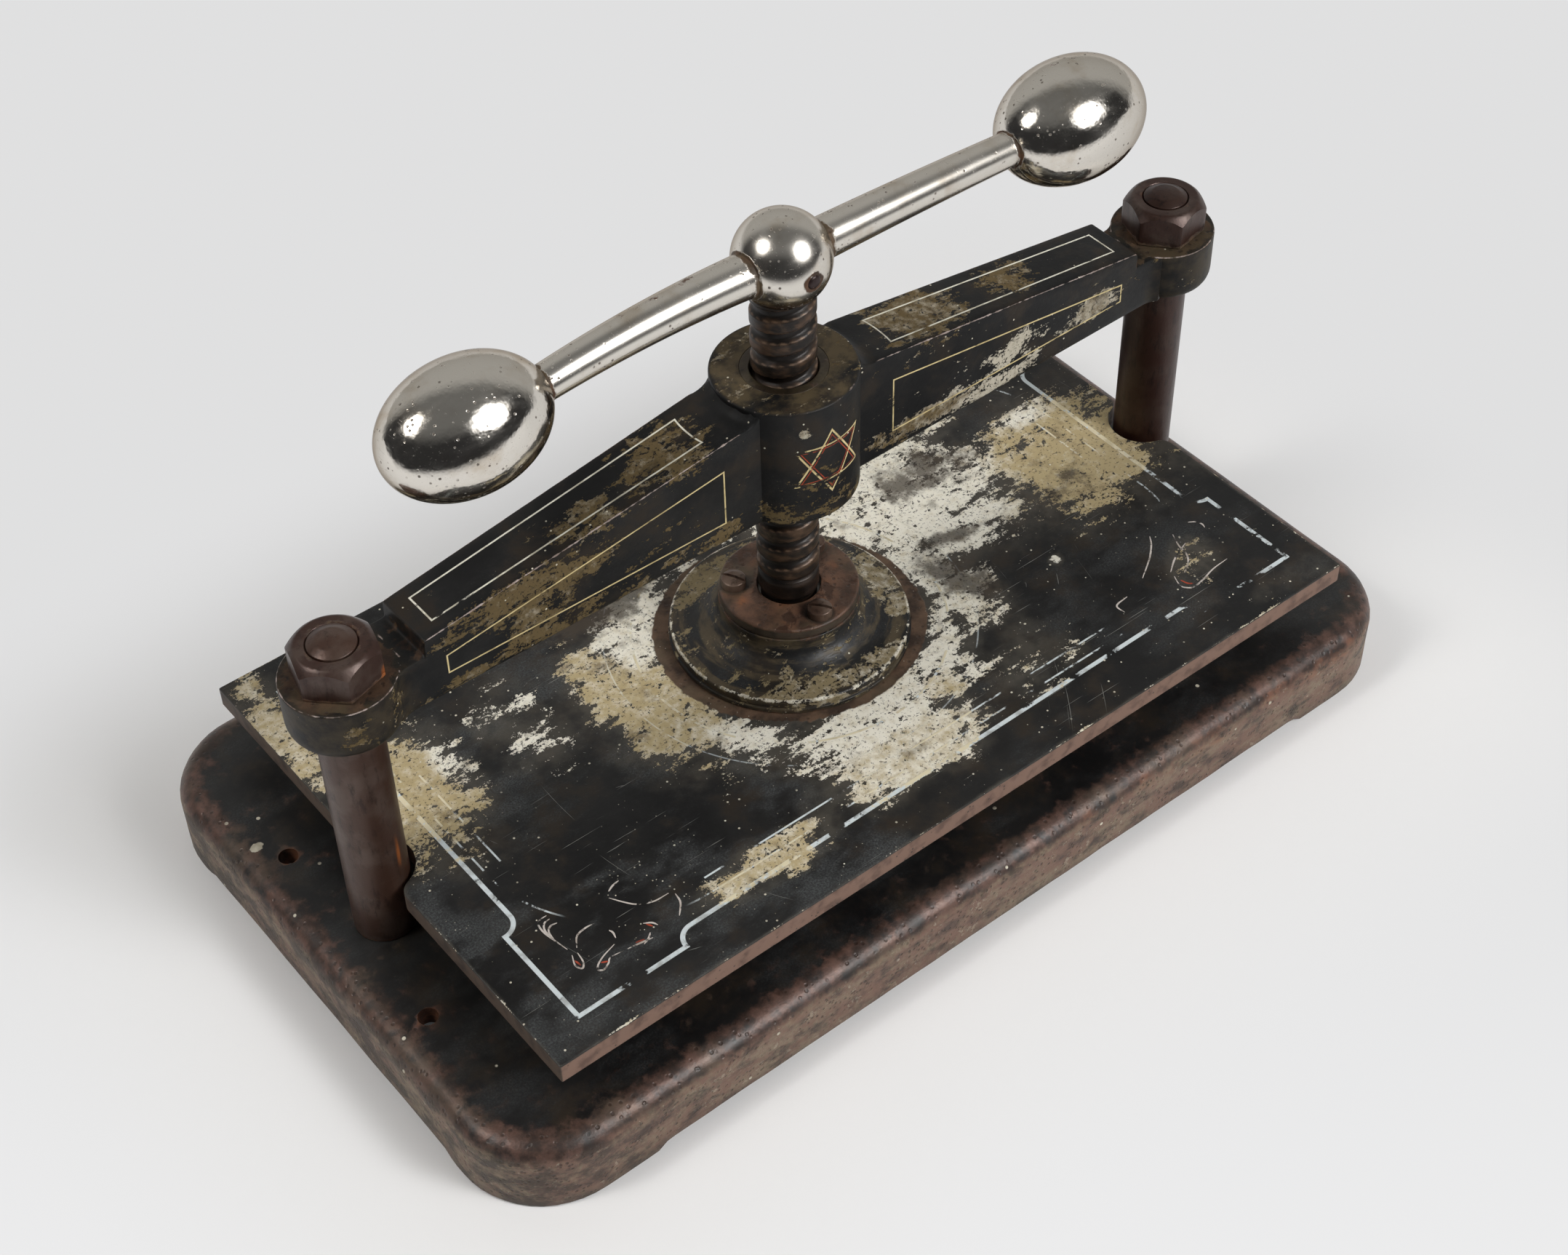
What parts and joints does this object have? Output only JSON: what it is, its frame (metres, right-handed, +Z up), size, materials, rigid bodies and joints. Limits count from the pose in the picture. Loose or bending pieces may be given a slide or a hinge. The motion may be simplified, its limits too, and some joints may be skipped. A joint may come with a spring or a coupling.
{
  "type": "copying press",
  "caption": "Cast-iron office copying press: a platen driven down on a base by a screw through a crossbeam on two columns, turned by a ball handle with weighted arms.",
  "frame": {"origin": "on the floor under the middle of the base, below the screw's axis", "axes": "+Z up along the screw, +X along the crossbeam from the left column to the right, +Y to the back"},
  "size_m": [0.465, 0.2676, 0.2722],
  "materials": {
    "black_iron": "worn black japanning with thin painted lines",
    "rust_brown_steel": "brown rust patina",
    "oily_steel": "dark oiled steel",
    "nickel": "worn nickel plate with fine pits",
    "plain_steel": "bare turned steel"
  },
  "bodies": {
    "frame": {"base": "black_iron", "column_left": "rust_brown_steel", "column_right": "rust_brown_steel", "column_nut_left": "rust_brown_steel", "column_nut_right": "rust_brown_steel", "base_nut_left": "rust_brown_steel", "base_nut_right": "rust_brown_steel", "crossbeam": "black_iron", "screw_bush": "oily_steel"},
    "platen": {"platen": "black_iron", "platen_boss": "black_iron", "boss_screw_1": "plain_steel", "boss_screw_2": "plain_steel", "boss_screw_3": "plain_steel", "boss_screw_4": "plain_steel", "thrust_pad": "plain_steel", "retaining_disc": "rust_brown_steel", "retaining_screw_1": "rust_brown_steel", "retaining_screw_2": "rust_brown_steel", "retaining_screw_3": "rust_brown_steel"},
    "screw": {"spindle": "oily_steel", "thrust_collar": "plain_steel", "handle_ball": "nickel", "ball_pin": "rust_brown_steel", "arm_left": "nickel", "arm_right": "nickel", "weight_left": "nickel", "weight_right": "nickel"}
  },
  "joints": [
    {"name": "platen_lift", "type": "slide", "parent": "frame", "child": "platen", "axis": [0, 0, 1], "range_m": [-0.0205, 0.045]},
    {"name": "screw_turn", "type": "hinge", "parent": "platen", "child": "screw", "pos_m": [0, 0, 0.08], "axis": [0, 0, 1], "range_deg": [-705, 1550]}
  ],
  "couplings": [
    {"joint": "platen_lift", "follows": "screw_turn", "m_per_rad": 0.0016552}
  ]
}
